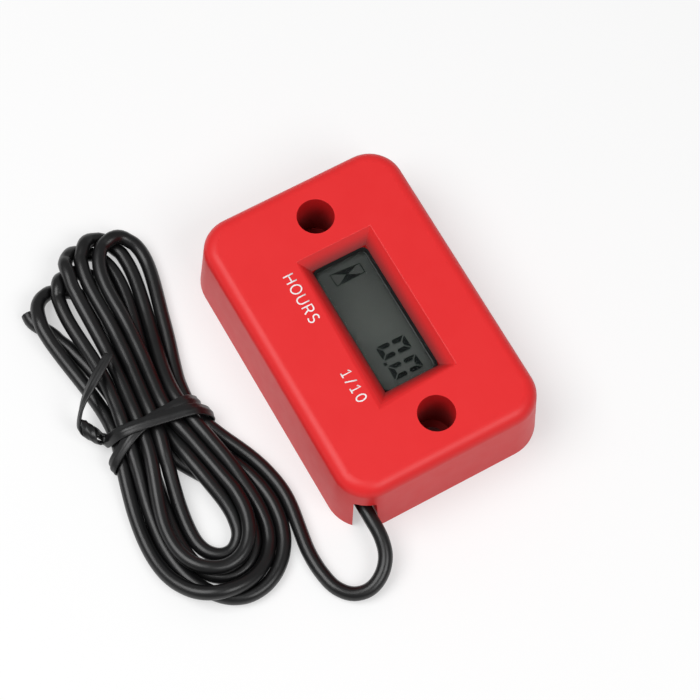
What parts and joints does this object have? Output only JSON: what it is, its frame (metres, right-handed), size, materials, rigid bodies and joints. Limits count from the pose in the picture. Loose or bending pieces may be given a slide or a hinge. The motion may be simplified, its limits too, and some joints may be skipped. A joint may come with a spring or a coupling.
{
  "type": "engine hour meter",
  "caption": "Rounded rectangular engine hour meter with a bevelled display window, countersunk screw wells, a potted back and a wound pickup lead.",
  "frame": {"origin": "middle of the housing on the mounting surface", "axes": "+X along the housing in the reading direction, +Y up the lettering, +Z out of the face"},
  "size_m": [0.0847, 0.0736, 0.0148],
  "materials": {
    "housing_plastic": "fine moulded texture, satin",
    "clear_lens": "clear moulded plastic",
    "display_film": "grey polarising film",
    "display_glass": "thin cut glass",
    "reflector": "dull silver film",
    "black_plastic": "matt",
    "contact_rubber": "layered silicone",
    "board_laminate": "solder resist on laminate",
    "chip_resin": "domed black resin",
    "can_metal": "drawn can",
    "capacitor_ceramic": "fired ceramic",
    "resistor_ceramic": "glazed ceramic",
    "cell_steel": "nickel plated, satin",
    "tab_nickel": "rolled strip",
    "solder": "bright solder",
    "copper": "tinned strands",
    "lead_jacket": "satin soft sleeve",
    "potting": "cast resin",
    "tie_plastic": "soft coated wire"
  },
  "bodies": {
    "root": {"housing": "housing_plastic", "window_lens": "clear_lens", "front_polariser": "display_film", "front_glass": "display_glass", "rear_glass": "display_glass", "reflector_film": "reflector", "display_holder": "black_plastic", "upper_contact_strip": "contact_rubber", "lower_contact_strip": "contact_rubber", "circuit_board": "board_laminate", "controller_cap": "chip_resin", "crystal_can": "can_metal", "chip_capacitors": "capacitor_ceramic", "chip_resistors": "resistor_ceramic", "coin_cell": "cell_steel", "negative_tab": "tab_nickel", "positive_tab": "tab_nickel", "solder_joints": "solder", "lead_core": "copper", "lead_root": "lead_jacket", "potting_resin": "potting", "lead_tube": "lead_jacket", "lead_hank": "lead_jacket", "twist_tie": "tie_plastic"}
  },
  "joints": []
}
